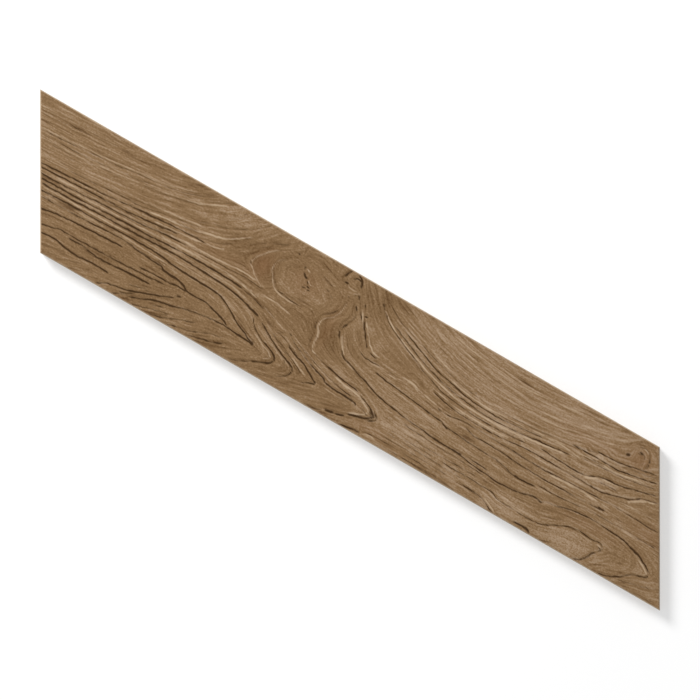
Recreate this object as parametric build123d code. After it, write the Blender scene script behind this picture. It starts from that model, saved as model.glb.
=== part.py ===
from build123d import *

import os
from math import cos, floor, radians, sin

# Mitred plank: one floor tile of wood-look porcelain, pressed, fired and cut as one piece.
# +Z is up and the tile lies on its back at Z = 0. Both mitred ends are parallel to Y, and the
# long edges fall towards +X at the mitre angle. The origin is the middle of the back.

# The outline, in millimetres and degrees.
edge_length = 400.0
plank_width = 79.2
mitre_angle = 30.0
thickness = 9.0

# The bevel ground along the four edges of the face.
arris = 0.6

# The keying grooves pressed in the back, along the whole plank.
groove_mouth = 4.6
groove_depth = 0.7
groove_taper = 0.6
land_width = 2.6
least_edge_land = 4.0

# Directions in plan: along the long edges, and square across them towards the upper edge.
along = Vector(cos(radians(mitre_angle)), -sin(radians(mitre_angle)), 0)
across = Vector(sin(radians(mitre_angle)), cos(radians(mitre_angle)), 0)

# The height of a mitred end along Y.
end_height = plank_width / cos(radians(mitre_angle))


def outline_corners():
    """Corners of the plan, from the sharp one at the upper left, clockwise."""
    half_edge = along * (edge_length / 2)
    half_end = Vector(0, end_height / 2, 0)
    return [half_end - half_edge, half_end + half_edge, half_edge - half_end, -half_end - half_edge]


def fired_slab():
    """The tile cut to its outline, with the arris along the edges of its face."""
    with BuildPart() as slab:
        with BuildSketch(Plane.XY):
            with BuildLine():
                Polyline(*outline_corners(), close=True)
            make_face()
        extrude(amount=thickness)
        face_edges = slab.faces().sort_by(Axis.Z)[-1].edges()
        chamfer(face_edges, length=arris)
    return slab.part


def groove_places():
    """Distances of the grooves' middles from the plank's middle line, which a land runs along."""
    pitch = groove_mouth + land_width
    last_middle = plank_width / 2 - least_edge_land - groove_mouth / 2
    pairs = floor(last_middle / pitch + 0.5)
    middles = [(number + 0.5) * pitch for number in range(pairs)]
    return [side * middle for side in (1, -1) for middle in middles]


def keying_grooves():
    """Tapered bars to take out of the back. They pass both mitred ends, where the plank was cut."""
    half_mouth = groove_mouth / 2
    half_floor = half_mouth - groove_taper
    section = Plane(origin=(0, 0, 0), x_dir=across, z_dir=along)
    with BuildPart() as grooves:
        with BuildSketch(section):
            for place in groove_places():
                with BuildLine():
                    Polyline(
                        (place - half_mouth, 0),
                        (place + half_mouth, 0),
                        (place + half_floor, groove_depth),
                        (place - half_floor, groove_depth),
                        close=True,
                    )
                make_face()
        extrude(amount=edge_length, both=True)
    return grooves.part


def mitred_plank():
    tile = fired_slab() - keying_grooves()
    return tile.solid()


os.makedirs("parts", exist_ok=True)
export_step(mitred_plank(), "parts/tile.step")
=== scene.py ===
from functools import lru_cache
from math import cos, radians, sin, tan

import bpy
import numpy as np
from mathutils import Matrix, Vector


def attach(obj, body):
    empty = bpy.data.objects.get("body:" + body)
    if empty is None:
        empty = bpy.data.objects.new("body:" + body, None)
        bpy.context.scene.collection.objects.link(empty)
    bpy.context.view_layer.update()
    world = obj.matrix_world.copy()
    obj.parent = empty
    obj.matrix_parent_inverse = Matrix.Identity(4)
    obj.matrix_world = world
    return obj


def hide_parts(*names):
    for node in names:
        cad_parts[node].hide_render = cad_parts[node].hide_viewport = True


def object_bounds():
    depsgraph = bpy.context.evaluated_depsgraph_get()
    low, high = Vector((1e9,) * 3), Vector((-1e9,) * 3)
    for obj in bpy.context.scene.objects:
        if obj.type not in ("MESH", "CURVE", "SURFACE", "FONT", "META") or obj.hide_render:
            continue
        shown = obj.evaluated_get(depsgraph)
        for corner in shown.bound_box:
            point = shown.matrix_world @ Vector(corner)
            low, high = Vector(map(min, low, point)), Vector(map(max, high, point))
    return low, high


# A mitred porcelain floor tile with the figure of brown oak printed and embossed on its face.
# A place on the face is its distance along the long edges, from the sharp upper left corner, and
# its distance across, from the upper edge to the lower one.

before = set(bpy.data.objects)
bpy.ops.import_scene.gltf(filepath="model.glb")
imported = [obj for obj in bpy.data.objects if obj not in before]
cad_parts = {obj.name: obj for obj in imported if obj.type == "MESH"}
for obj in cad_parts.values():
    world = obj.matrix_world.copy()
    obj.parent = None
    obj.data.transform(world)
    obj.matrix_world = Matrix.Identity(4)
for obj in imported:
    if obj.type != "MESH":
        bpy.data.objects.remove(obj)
cad_low, cad_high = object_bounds()

MM = 0.001

# The tile's own sizes in millimetres. Length, width and height come from the frame.
MITRE = radians(30)
REACH = (cad_high - cad_low) / MM
LENGTH = REACH.x / cos(MITRE)
WIDTH = (REACH.y - LENGTH * sin(MITRE)) * cos(MITRE)
HEIGHT = REACH.z
ARRIS = 0.6
GROOVE_MOUTH = 4.6
GROOVE_TAPER = 0.6
GROOVE_DEPTH = 0.7
LAND_WIDTH = 2.6
GROOVE_PAIRS = 5

# The face's mesh, finer across the grain than along it.
CELLS_ALONG = 480
CELLS_ACROSS = 196

# Depths of the relief below the top of the tile, in millimetres. Those of fibres and bands are for
# one standard step of their streaks.
MEAN_DEPTH = 0.12
FIBRE_DEPTH = 0.011
BAND_DEPTH = 0.010
ROW_DEPTH = 0.024
INK_DEPTH = 0.26
PALE_RISE = 0.05

# The figure is drawn in steps, each one pixel of the photograph. The tile's long edge is this many.
EDGE_PX = 356.9
STEP = LENGTH / EDGE_PX

# How close the fine growth rows lie, and how far they wander, in rows.
ROWS_PER_RING = 2.3
ROW_WANDER = 1.1

# The dark lines of the figure. Each has the number of its growth ring, counted outward from the
# heart at the lower left, how strongly it is printed, its half width in millimetres, and its points
# along and across, in steps.

LEFT_ROWS = [
    (14.1, 0.30, 0.4, [(2, 2.6), (14, 2.2), (40, 1.4)]),
    (13.5, 0.34, 0.4, [(3, 6.3), (20, 5.4), (50, 4.6)]),
    (12.9, 0.34, 0.4, [(5, 8.4), (16, 7.8), (40, 6.9), (60, 5.6)]),
    (12.3, 0.26, 0.4, [(7, 10.6), (20, 10.2), (40, 9.2), (62, 6.8)]),
    (11.3, 0.26, 0.4, [(8, 14.4), (28, 13.6), (52, 11.6), (76, 8)]),
    (9.3, 0.34, 0.4, [(18, 23), (40, 21.8), (60, 19.6), (80, 17)]),
    (8.6, 0.34, 0.4, [(30, 24.8), (52, 24), (76, 21.6), (96, 18)]),
    (8.1, 0.40, 0.4, [(24, 26.6), (44, 25.8), (64, 24.6), (84, 21.6)]),
    (13.8, 0.31, 0.41, [(3, 5.2), (20, 4.2), (55, 3.2)]),
    (13.2, 0.38, 0.41, [(3.5, 7.5), (12, 6.8), (30, 6.2), (48, 5.6)]),
    (12.6, 0.43, 0.41, [(6, 9.3), (14, 9), (24, 8.2), (35, 7.3)]),
    (11.8, 0.23, 0.38, [(38, 11.6), (46, 10), (57, 8.8)]),
    (10.7, 0.54, 0.46, [(8, 17), (25, 16), (38, 14.9), (52, 13.8), (66, 11.8), (75, 11.2), (85, 9.5),
     (95, 6.5), (104, 3)]),
    (10.2, 0.47, 0.41, [(11, 18.6), (25, 18.3), (40, 17.6), (55, 15.8), (65, 14.6), (75, 13), (88, 10.5),
     (100, 7), (111, 2)]),
    (9.5, 0.4, 0.41, [(13, 21.4), (22, 21), (40, 20), (55, 18), (70, 16.3), (85, 13.6), (101, 9.5)]),
    (9.0, 0.24, 0.38, [(30, 23), (45, 22.5), (62, 21)]),
    (7.6, 0.54, 0.41, [(25, 28.2), (45, 27.2), (60, 26), (72, 25.4), (85, 23), (95, 21.4), (104, 20)]),
    (7.3, 0.45, 0.38, [(76, 28), (90, 26.2), (104, 24.8), (116, 22), (124, 17)]),
    (6.9, 0.8, 0.53, [(17, 31.6), (30, 30.8), (45, 29.8), (60, 28.9), (67, 28), (76, 27.2), (92, 25.9),
     (110, 25.2)]),
    (6.4, 0.87, 0.53, [(19, 33.4), (30, 32.8), (42, 32.2), (55, 31.6), (70, 31), (81, 29.9), (96, 28.2)]),
    (5.8, 1, 0.53, [(20, 36), (30, 35.8), (45, 35), (55, 34.3), (70, 33.6), (77, 33.1), (90, 31.6),
     (103, 31)]),
    (5.8, 0.5, 0.48, [(98, 31.2), (106, 30.9), (115, 30.8), (127, 30.6), (135, 30.1), (147, 31)]),
    (5.1, 1, 0.57, [(22, 38), (35, 37.7), (48, 37.5), (60, 36.8), (75, 36.2), (92, 35.6), (103, 35),
     (115, 34.8), (130, 35), (137, 35.6)]),
    (5.1, 0.6, 0.44, [(137, 35.6), (145, 37.3), (152, 39.2)]),
    (4.4, 1, 0.6, [(24, 40), (40, 39.8), (55, 39.2), (75, 38.7), (90, 38.1), (103, 37.7), (118, 38.3),
     (130, 39), (138, 40.3), (143, 41.4), (150, 43.6)]),
    (3.2, 1, 0.6, [(25, 43.3), (35, 42.8), (47, 42.4), (60, 42.2), (73, 41.6), (90, 41.7), (103, 42.9),
     (115, 43.5), (127, 44), (132, 45.4), (137, 48), (141, 50.4), (147, 53.4), (154, 56.6)]),
    (2.3, 0.71, 0.57, [(26, 45.8), (40, 45.6), (55, 45.2), (66, 44.4), (75, 44.4), (88, 45.6)]),
    (2.3, 1, 0.6, [(75, 44.4), (88, 45.7), (96, 46.2), (99, 47.4), (106, 47.8), (111, 49), (115, 51),
     (125, 50.8), (130, 52.2), (136, 53.8), (139, 55.6)]),
    (1.3, 1, 0.57, [(28.5, 51.5), (33, 50.6), (40, 49.6), (50, 48.9), (60, 48.3), (75, 47.6)]),
    (1.6, 0.86, 0.57, [(87, 52.2), (95, 51.7), (104, 51.5), (108, 50.8), (114, 51)]),
    (0.5, 0.69, 0.57, [(33, 58.3), (37, 57.2), (40, 56.8), (44, 55.6), (50, 55.7), (60, 55.3), (75, 55),
     (90, 54.2), (103, 53.4)]),
    (0.1, 0.98, 0.57, [(49, 57), (58, 57), (62, 57.6), (66, 58.3), (75, 58), (85, 57.2), (96.5, 57)]),
    (1.0, 1, 0.57, [(35, 61.8), (38, 61.5), (42, 60.9), (46, 61.4), (50, 62.2), (58, 62.8), (65, 62),
     (75.5, 62.4)]),
]

FOLDED_TIPS = [
    (3.2, 0.92, 0.57, [(154, 57), (148, 56.8), (140, 56.2), (134, 56.5), (128, 57), (123, 57.8), (117, 59),
     (111, 60.8), (103, 62.3), (96, 65.2)]),
    (4.3, 0.62, 0.46, [(149, 44), (149.5, 46), (151.5, 48.6), (155, 51.4), (160, 53.7), (163, 54.8)]),
    (4.3, 0.95, 0.54, [(159, 53.3), (165, 55.5), (168, 57.4), (168.3, 59.5), (166, 61.8), (158, 65)]),
    (4.3, 0.66, 0.46, [(160, 64.2), (152, 68.4), (147, 70)]),
    (4.6, 0.56, 0.4, [(153, 45), (159, 49), (166, 52.6), (172, 55.6), (174.6, 58.4), (173, 61)]),
    (5.2, 0.56, 0.4, [(160, 46.6), (168, 50.6), (176, 54), (182, 57), (184.6, 59.4)]),
    (5.7, 0.5, 0.4, [(163, 45), (168, 46.8), (175, 49.6), (180, 51.8)]),
    (6.5, 0.6, 0.4, [(176, 45.4), (184, 48.6), (192, 51.2), (202, 54), (212, 55.4)]),
    (4.9, 0.86, 0.5, [(155, 46), (161, 49.6), (166, 52.2), (171, 54.6), (176, 56.4), (178.8, 58),
     (178.8, 60.4), (177, 63), (173, 65.4)]),
    (5.4, 1, 0.5, [(171, 48.6), (176.4, 51.2), (182.8, 53.2), (187, 55.6), (191.8, 58.4), (189, 60.2),
     (185, 62)]),
    (6.0, 0.75, 0.46, [(170, 44.4), (173, 46), (178, 48.3), (183, 50.6), (188, 52.4)]),
    (6.0, 1, 0.58, [(185, 51.2), (189, 52.6), (193, 53.7), (197, 55.6), (203, 56.4), (209, 56.5), (214, 57),
     (214.6, 58.6)]),
    (7.0, 0.5, 0.46, [(184, 45.6), (190, 47.4), (196, 48.6)]),
    (7.0, 0.9, 0.46, [(193, 48), (197, 48.8), (203, 50), (209, 50.8), (213, 51.6)]),
    (7.0, 0.75, 0.44, [(214.4, 52.2), (219, 54), (223, 56), (226, 58.6)]),
    (7.0, 1, 0.6, [(226, 58.8), (222.5, 61), (218, 62.6), (213.6, 63.8)]),
    (7.0, 0.9, 0.5, [(213, 64.6), (210.4, 66), (208, 66.6)]),
    (7.0, 1, 0.8, [(207.6, 66.4), (205, 67), (202.4, 67.4)]),
    (7.0, 0.9, 0.55, [(201.6, 68), (198, 69.6), (193, 70.2)]),
]

# The bruised place at the outermost tip, and other short marks.
BRUISES = [
    (7.0, 0.92, 0.51, [(221, 54.8), (223.6, 56.6), (225.6, 58.8), (224, 60.4)]),
    (7.1, 0.86, 0.51, [(224.4, 55.6), (226.8, 57.6), (227.6, 59.2), (226, 60.6), (223.4, 62)]),
    (7.0, 0.62, 1.5, [(223, 57), (225.4, 58.6), (224, 60)]),
    (7.0, 0.45, 0.9, [(218, 62.4), (221.6, 61), (224.6, 60.4)]),
    (7.0, 0.63, 0.4, [(218.6, 57.6), (221.6, 59), (223, 59.6)]),
    (7.0, 0.69, 0.46, [(214, 63.2), (218, 61.8), (221.4, 60.4)]),
    (3.1, 1, 1.0, [(153.8, 56.4), (155, 57.2)]),
    (4.4, 1, 0.6, [(141, 40.9), (146, 42.3), (150.6, 43.7)]),
    (6.0, 1, 0.46, [(194, 54.4), (197.4, 56), (202, 56.6)]),
    (6.0, 0.9, 0.46, [(205, 56.6), (210, 56.8), (213.6, 57.2)]),
    (3.2, 0.63, 0.4, [(139.6, 57.6), (140.4, 55.8), (141.6, 57.4)]),
    (2.9, 1, 0.8, [(110.6, 55.4), (112.6, 54.6)]),
    (10.6, 1, 0.56, [(251.4, 38.8), (254, 39.2)]),
    (10.6, 1, 0.56, [(257, 39.2), (259.4, 39.4)]),
    (10.7, 0.98, 0.51, [(293, 38.2), (296.4, 38.3), (300, 38.8)]),
    (10.6, 0.98, 0.51, [(311, 38.9), (315, 38.7), (318.4, 38.4)]),
    (9.2, 0.98, 0.51, [(219.6, 39.2), (222.6, 39.8)]),
    (9.2, 1, 0.56, [(246.6, 42.5), (249.4, 42.9)]),
    (9.2, 1, 0.56, [(257, 43.8), (258.8, 44.8), (261, 45)]),
    (9.2, 1, 0.56, [(300, 48.7), (306, 48.8), (313, 48.2)]),
    (8.1, 1, 0.56, [(267, 52.7), (273.4, 52.9)]),
    (8.1, 1, 0.51, [(309.4, 54), (313, 53.3), (318, 53)]),
    (9.9, 0.69, 0.82, [(345, 41.2), (349, 41.6)]),
    (6.9, 0.92, 0.51, [(354.6, 58.4), (357, 59.2), (355.6, 61)]),
    (8.0, 0.69, 0.51, [(379, 54.4), (382.4, 56.6), (383.4, 58.4)]),
    (6.6, 0.52, 0.4, [(163, 46.4), (167, 43.4)]),
    (5.7, 0.58, 0.4, [(162, 47.6), (166.4, 50)]),
    (3.4, 0.8, 0.6, [(138, 54.6), (139.4, 55.6)]),
    (8.6, 0.7, 0.5, [(168.4, 43.2), (170.4, 43.8)]),
    (12.9, 0.8, 0.5, [(242, 22.4), (243, 22.7)]),
    (13.2, 0.7, 0.46, [(263.6, 22.4), (264.4, 22.5)]),
    (15.2, 0.6, 0.46, [(237, 14), (238, 14.3)]),
]

LOWER_HATCH = [
    (2.4, 0.95, 0.5, [(72, 69.8), (76, 67.8), (80, 66.5), (88, 65), (95, 62.5), (103, 59.5), (110, 56.6)]),
    (2.8, 0.85, 0.44, [(81, 70.4), (86, 68.2), (93, 66.4), (100, 63.6)]),
    (3.3, 0.8, 0.42, [(92, 70.4), (98, 68.6), (105, 66.6), (112, 65.2)]),
    (3.5, 0.8, 0.42, [(102, 70.3), (110, 68), (118, 64.8), (126, 62)]),
    (3.7, 0.75, 0.42, [(112, 70.3), (119, 68.4), (126, 66.8), (134, 63.4), (141, 61.8)]),
    (4.0, 0.75, 0.5, [(122, 70.6), (128, 68.6), (133, 67.4), (138, 66.3), (143, 63.9)]),
    (3.9, 0.36, 0.38, [(131, 70.4), (139, 68.4), (147, 65.4), (152, 63)]),
    (1.4, 0.5, 0.38, [(38, 67.2), (44, 65.8), (52, 64.2)]),
    (1.8, 0.45, 0.38, [(44, 69.8), (54, 67.4), (63, 64.6)]),
    (2.1, 0.5, 0.38, [(54, 70.4), (63, 68.2), (73, 64.6)]),
    (2.6, 0.8, 0.4, [(86, 62.6), (90, 61.6), (96, 59.4)]),
    (2.7, 0.7, 0.4, [(95, 60.8), (101, 59)]),
    (3.0, 0.8, 0.42, [(84, 67.6), (88, 66.6), (92, 64.6)]),
    (3.1, 0.8, 0.42, [(101, 66), (105, 64.4), (108, 63.6)]),
    (3.2, 1, 0.46, [(111, 61), (115, 59.6), (119, 58.6), (124, 57.6)]),
    (3.6, 0.7, 0.42, [(107, 67.6), (112, 65.8)]),
    (5.4, 0.36, 0.38, [(160, 70.2), (168, 67.8), (178, 65.2), (188, 62.8)]),
    (6.0, 0.34, 0.38, [(172, 70.2), (182, 67.6), (194, 63.8), (204, 60.8)]),
    (6.4, 0.36, 0.38, [(184, 69.8), (194, 66.8), (205, 64), (214, 61.2)]),
]

LARGE_KNOT = [
    (6.6, 0.31, 0.46, [(147, 8.4), (141, 12.4), (137.6, 17), (135.6, 21.4), (138, 24.2), (143, 28)]),
    (6.2, 0.43, 0.41, [(150, 11), (147, 15), (146.6, 19), (148.4, 23), (151.6, 26.4), (156, 28.4),
     (166, 28.7)]),
    (5.6, 1, 0.55, [(158.8, 10.2), (159.6, 12)]),
    (5.6, 1, 0.62, [(159.8, 13.2), (161.4, 14.6), (162.8, 15.2)]),
    (5.6, 0.8, 0.42, [(163.4, 16.2), (164.2, 17.8)]),
    (5.5, 0.8, 0.42, [(164.2, 18.6), (166.2, 19.1)]),
    (5.5, 0.95, 0.44, [(162.2, 20), (164.2, 19.9)]),
    (5.5, 0.95, 0.44, [(165, 20.3), (167, 19.9)]),
    (5.7, 0.5, 0.42, [(166.8, 15.6), (167.4, 17.2)]),
    (5.9, 0.5, 0.42, [(170, 10.6), (173, 11.8), (176.4, 12.6)]),
    (6.1, 0.8, 0.5, [(173.4, 14.8), (175.6, 15.4)]),
    (6.1, 0.62, 0.6, [(176.6, 16), (178.8, 17.8)]),
    (5.7, 0.7, 0.46, [(152.4, 27.8), (157, 27.9), (161, 28.8), (168, 29)]),
    (5.7, 0.4, 0.42, [(163, 25.2), (169, 25.6)]),
    (5.9, 0.43, 0.38, [(153, 25.5), (160, 27), (168, 26.6)]),
    (5.9, 0.36, 0.38, [(157, 9), (165, 9.6), (171, 12.4), (174, 17)]),
    (6.4, 0.25, 0.38, [(176, 12), (179.4, 16), (179.6, 20), (177.4, 24.4)]),
]

ROUND_THE_KNOT = [
    (8.4, 0.5, 0.44, [(101, 18.2), (108, 15.5), (115, 13.4), (122, 10.4), (129, 6), (135, 0.8)]),
    (7.0, 0.4, 0.38, [(122, 23.6), (126, 20.6), (130, 17.4), (133, 14)]),
    (7.8, 0.31, 0.38, [(118, 20.8), (126, 15.4), (131, 9)]),
    (7.2, 0.36, 0.38, [(130, 12.8), (135, 7.6), (139, 2.4), (141, 0.4)]),
    (6.9, 0.38, 0.38, [(134, 13.6), (139, 8.2), (143, 3.6), (146, 0.4)]),
    (6.8, 0.34, 0.38, [(142, 9.6), (147, 4.6), (151, 0.8)]),
    (6.7, 0.34, 0.38, [(149, 7.4), (154, 3.6), (157, 0.6)]),
    (9.2, 0.4, 0.38, [(104, 14), (112, 10.6), (119, 6), (124, 0.8)]),
    (7.0, 1, 0.6, [(180.4, 0.3), (179.3, 2.6), (178.4, 4.8)]),
    (7.0, 1, 0.7, [(179.8, 7.2), (181.6, 7.3)]),
    (7.2, 1, 0.62, [(182.8, 3.8), (184.8, 2.8), (187, 3.2)]),
    (7.3, 1, 0.62, [(184, 0.8), (186.5, 2), (188, 4.4), (188.4, 6.4)]),
    (7.1, 0.8, 0.5, [(184.6, 12.8), (185.6, 12.6)]),
    (7.2, 0.9, 0.6, [(189.4, 9.6), (190.6, 11.4)]),
    (7.4, 0.7, 0.5, [(187.2, 4.8), (188.2, 6.2)]),
    (8.3, 0.8, 0.5, [(194, 12), (195, 13.8)]),
    (9.6, 0.8, 0.6, [(201.8, 6.8), (203, 8.2)]),
    (7.0, 0.45, 0.46, [(178.8, 37), (179.2, 41), (180.6, 44.8)]),
    (8.0, 0.5, 0.5, [(192.4, 17.4), (193, 20), (192.4, 22.6), (190.8, 25.4)]),
    (8.6, 0.9, 0.46, [(193.8, 15.4), (195.2, 17.8), (196.6, 19.8)]),
    (7.9, 1, 0.6, [(190.8, 14.8), (192.4, 17)]),
    (8.0, 1, 0.56, [(191.4, 24.8), (189.9, 28.2)]),
    (8.0, 0.85, 0.5, [(189.6, 29), (190.1, 31.2), (191.5, 33.4)]),
    (8.9, 1, 0.5, [(197, 17.4), (198.6, 16.8)]),
    (6.8, 0.7, 0.44, [(184, 19.8), (183, 22.8), (180.8, 25), (178.4, 27)]),
    (6.8, 0.6, 0.42, [(177.6, 30), (177.5, 32.6), (178.6, 35.6)]),
    (7.0, 0.8, 0.5, [(152.8, 6.4), (153.4, 7)]),
    (6.9, 0.7, 0.42, [(133.6, 21.4), (134.6, 23)]),
    (7.5, 0.5, 0.4, [(129, 15.6), (133.4, 12), (137, 9.4)]),
    (7.1, 0.5, 0.4, [(131, 17.6), (135, 13.4), (139.4, 10.4)]),
    (6.9, 0.5, 0.4, [(139, 9), (143, 6.6), (148, 4.4)]),
    (10.3, 1, 0.46, [(197.6, 19.2), (200, 22.8), (202.4, 26.2), (204.8, 29.2), (206, 30.4)]),
    (10.4, 0.9, 0.44, [(207.8, 31.2), (210, 32.2), (213, 32.6)]),
    (10.3, 0.9, 0.46, [(203.6, 33.6), (207, 34.9), (211, 35), (217, 34.9)]),
    (10.4, 0.54, 0.41, [(220, 35.2), (227, 35.4)]),
]

LONG_ROWS = [
    (8.0, 0.8, 0.54, [(194.6, 37), (197, 39.5), (200, 41), (205, 42.6), (209, 44), (213, 45), (219, 47.2),
     (225, 48.8), (232, 50), (240, 51), (250, 52), (258, 52.8), (268, 53), (273, 53.1), (279, 54.3),
     (288, 55), (295, 55.7), (303, 55.3), (309, 54.4), (312, 53.5), (315, 52.8), (319, 53.3), (323, 52),
     (329, 50.8), (333, 49.5), (343, 48.3), (350, 48.2), (357, 48.7), (362, 49), (367, 50), (371, 51.3),
     (375, 52.3), (378, 54), (381, 55.4), (384, 57.6)]),
    (8.0, 0.69, 0.57, [(384, 57.8), (383, 60), (378, 61.5), (374, 64), (371, 66.5), (366, 69),
     (361, 70.2)]),
    (8.3, 0.69, 0.53, [(276, 52.4), (282, 52.7), (289, 53.2)]),
    (7.8, 0.57, 0.4, [(240, 54), (258, 55), (275, 55.6), (289, 56.4)]),
    (9.2, 0.72, 0.52, [(215, 38.5), (221, 39.5), (230, 40.5), (238, 41.5), (248, 42.7), (256, 43.5),
     (258.6, 44.6), (265, 45), (274, 45.7), (283, 46.2), (290, 46.5), (295, 47.3), (299, 48.4), (307, 48.6),
     (313, 48.1)]),
    (9.3, 0.59, 0.46, [(313, 46.7), (322, 46.8), (331, 46.3), (338, 45.6), (347, 45), (355, 45),
     (364, 44.8), (372, 45.1), (381, 45.1)]),
    (9.8, 0.7, 0.48, [(268, 40.3), (272, 41.2), (276, 41.7), (285, 41.6), (293, 42), (300, 42.5),
     (310, 42.8), (320, 42.8), (330, 42.5), (343, 42), (348, 42)]),
    (10.6, 0.63, 0.46, [(251, 38.9), (258, 39.3), (265, 38), (280, 38), (290, 38.3), (299, 38.6),
     (311, 38.8), (318, 38.4), (330, 37.8), (343, 37.4), (353, 37), (362, 37.3), (370, 37.5),
     (378, 37.4)]),
    (11.4, 0.72, 0.46, [(245, 32.3), (250, 33.6), (257, 35), (268, 35.8), (280, 36), (290, 35.2),
     (300, 34.1), (310, 34), (320, 34.2), (336, 34.1), (343, 33.9), (351, 31.9), (356, 30.5), (359, 29),
     (361.5, 27.2), (365, 26.2), (370.6, 25)]),
    (12.0, 0.78, 0.48, [(306, 30.2), (315, 31), (325, 31.2), (331, 31), (335, 29.4), (338, 28), (343, 27.3),
     (349, 26.8), (356, 25), (362, 23.5), (368.6, 21.7)]),
    (7.5, 0.58, 0.41, [(249, 57.8), (254, 58.5), (260, 58.8), (275, 58.6), (286, 58.5)]),
    (7.6, 0.34, 0.38, [(231, 54.8), (244, 56.2), (262, 56.4)]),
    (7.3, 0.52, 0.38, [(236, 60), (248, 60.6), (262, 60.8)]),
    (7.2, 0.52, 0.38, [(234, 62.2), (252, 62.4), (266, 62.8), (280, 63.2)]),
    (7.1, 0.5, 0.38, [(231, 64.6), (244, 64.4), (258, 64.8), (272, 65.2)]),
    (7.0, 0.52, 0.38, [(224, 68.4), (228, 66.8), (240, 66.6), (256, 67), (272, 67.6)]),
    (6.9, 0.5, 0.38, [(236, 69), (252, 69), (268, 69.4), (280, 70)]),
    (7.6, 0.8, 0.62, [(213, 70.2), (218, 69.2), (223.6, 68.6)]),
]

OVAL_KNOT = [
    (6.9, 0.66, 0.46, [(266, 60.6), (272, 61), (282, 61), (290, 61.3), (296, 61.6), (298.5, 63),
     (301, 63.3), (310, 63.6), (316, 63.7), (323, 63.3), (327, 62), (331, 60), (336, 57.6), (341, 56.3),
     (346, 56.4), (351, 57), (355, 56.5), (357.4, 57.8), (357.4, 60), (356, 61.2)]),
    (6.9, 1, 0.7, [(355.6, 61.4), (354, 63), (352.4, 66), (350, 68.6), (346, 70.2)]),
    (6.8, 0.76, 0.53, [(280, 65.4), (285, 65.6), (290, 66), (294, 67), (297, 68.6), (301, 70.2)]),
    (6.4, 0.92, 0.62, [(312, 68.8), (318, 68.4), (320.6, 69), (322, 70.2)]),
    (6.3, 0.2, 0.38, [(322, 67.4), (330, 64.6), (338, 62), (346, 62.6)]),
    (8.6, 0.59, 0.41, [(371, 68), (378, 66.4), (385, 64.6), (391.6, 62.4)]),
    (9.2, 0.52, 0.41, [(381, 70), (387, 69.8), (394, 68.4)]),
]

RIGHT_BOWL = [
    (11.3, 0.58, 0.5, [(200, 3.6), (203, 8), (206, 11.4), (210, 14.4), (214.6, 16.8), (219, 18.8),
     (228.6, 23), (237, 26.6), (244, 28.9), (250, 30.8), (262, 32.2), (275, 33), (288, 32.6),
     (298, 31.6)]),
    (12.8, 0.72, 0.46, [(216, 12.4), (226, 16.6), (233.6, 19.4), (241, 22.3), (249, 24), (262, 26.6),
     (276, 27.6), (290, 26.8), (304, 25.2)]),
    (12.2, 0.72, 0.46, [(212, 13.6), (222, 17.8), (232, 21.8), (241, 24.8), (250, 27), (262, 28.9),
     (275, 29.9), (290, 29.2), (305, 27.4), (320, 25.8)]),
    (13.3, 0.52, 0.41, [(206, 6), (214, 10.4), (226, 14.2), (238, 18.2), (250, 21.2), (262, 23.6),
     (276, 24.6), (290, 24), (306, 22.6), (318, 21), (333, 17.8)]),
    (14.0, 0.28, 0.38, [(206, 2), (216, 6.6), (228, 11), (240, 14.8), (252, 17.8), (266, 20.2), (282, 21)]),
    (14.7, 0.26, 0.38, [(212, 0.4), (222, 4.2), (234, 8.6), (246, 12.4), (258, 15), (272, 17),
     (288, 17.6)]),
    (15.4, 0.26, 0.38, [(222, 0.6), (232, 4), (244, 7.6), (256, 10.2), (270, 12.6), (284, 13.8),
     (300, 13.4)]),
    (16.2, 0.26, 0.38, [(234, 0.4), (246, 4), (258, 6.6), (272, 8.8), (288, 9.8), (304, 9)]),
    (17.0, 0.3, 0.38, [(246, 0.4), (258, 3), (270, 4.8), (284, 6), (298, 5.8), (314, 4.2), (326, 3)]),
    (17.8, 0.25, 0.38, [(262, 0.4), (276, 2.2), (292, 2.8), (308, 1.4)]),
    (15.6, 0.25, 0.38, [(296, 12.4), (310, 11), (324, 8.6), (338, 5.6)]),
    (14.9, 0.28, 0.38, [(298, 16), (310, 15), (322, 12.6), (334, 10.4)]),
    (13.9, 0.8, 0.48, [(331, 17.4), (343, 17), (352, 15.1), (363.4, 13)]),
    (13.4, 0.8, 0.44, [(318, 20.6), (330, 20.4), (343, 20.6), (350, 19.6), (358, 18.2), (366, 16.4)]),
    (11.9, 0.7, 0.44, [(338.8, 30.2), (344, 29.8), (350, 30)]),
    (11.6, 0.9, 0.5, [(341.6, 34.4), (345, 33.6), (347.8, 33)]),
    (11.5, 1, 0.55, [(359.6, 28.6), (361.4, 27.2)]),
    (11.6, 0.9, 0.6, [(336.4, 34), (337.6, 34)]),
    (13.6, 0.6, 0.42, [(340, 18.4), (350, 17.2), (360, 15.4), (364.6, 14.4)]),
    (12.9, 0.62, 0.42, [(326, 24.2), (338, 23.2), (350, 22.4), (366, 19.2)]),
]

SMALL_KNOT = [
    (14.6, 1, 1.05, [(344.8, 11.4), (345.8, 10.8)]),
    (14.4, 0.4, 0.45, [(347, 9.6), (347.6, 6.4), (351, 4.4), (354.6, 6.2), (356, 10), (354.6, 14)]),
    (14.2, 0.58, 0.5, [(348.6, 8.4), (350.6, 6.8), (353, 8.6), (353.6, 11.6), (352, 14)]),
    (14.0, 1, 0.8, [(350, 7), (351.6, 7.6)]),
    (14.3, 0.75, 0.55, [(354.8, 7.2), (356.4, 9.6), (356.6, 12.6), (355.2, 14.2)]),
    (14.9, 0.29, 0.38, [(344, 6.4), (348, 2.8), (354, 2), (359, 5)]),
]

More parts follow.
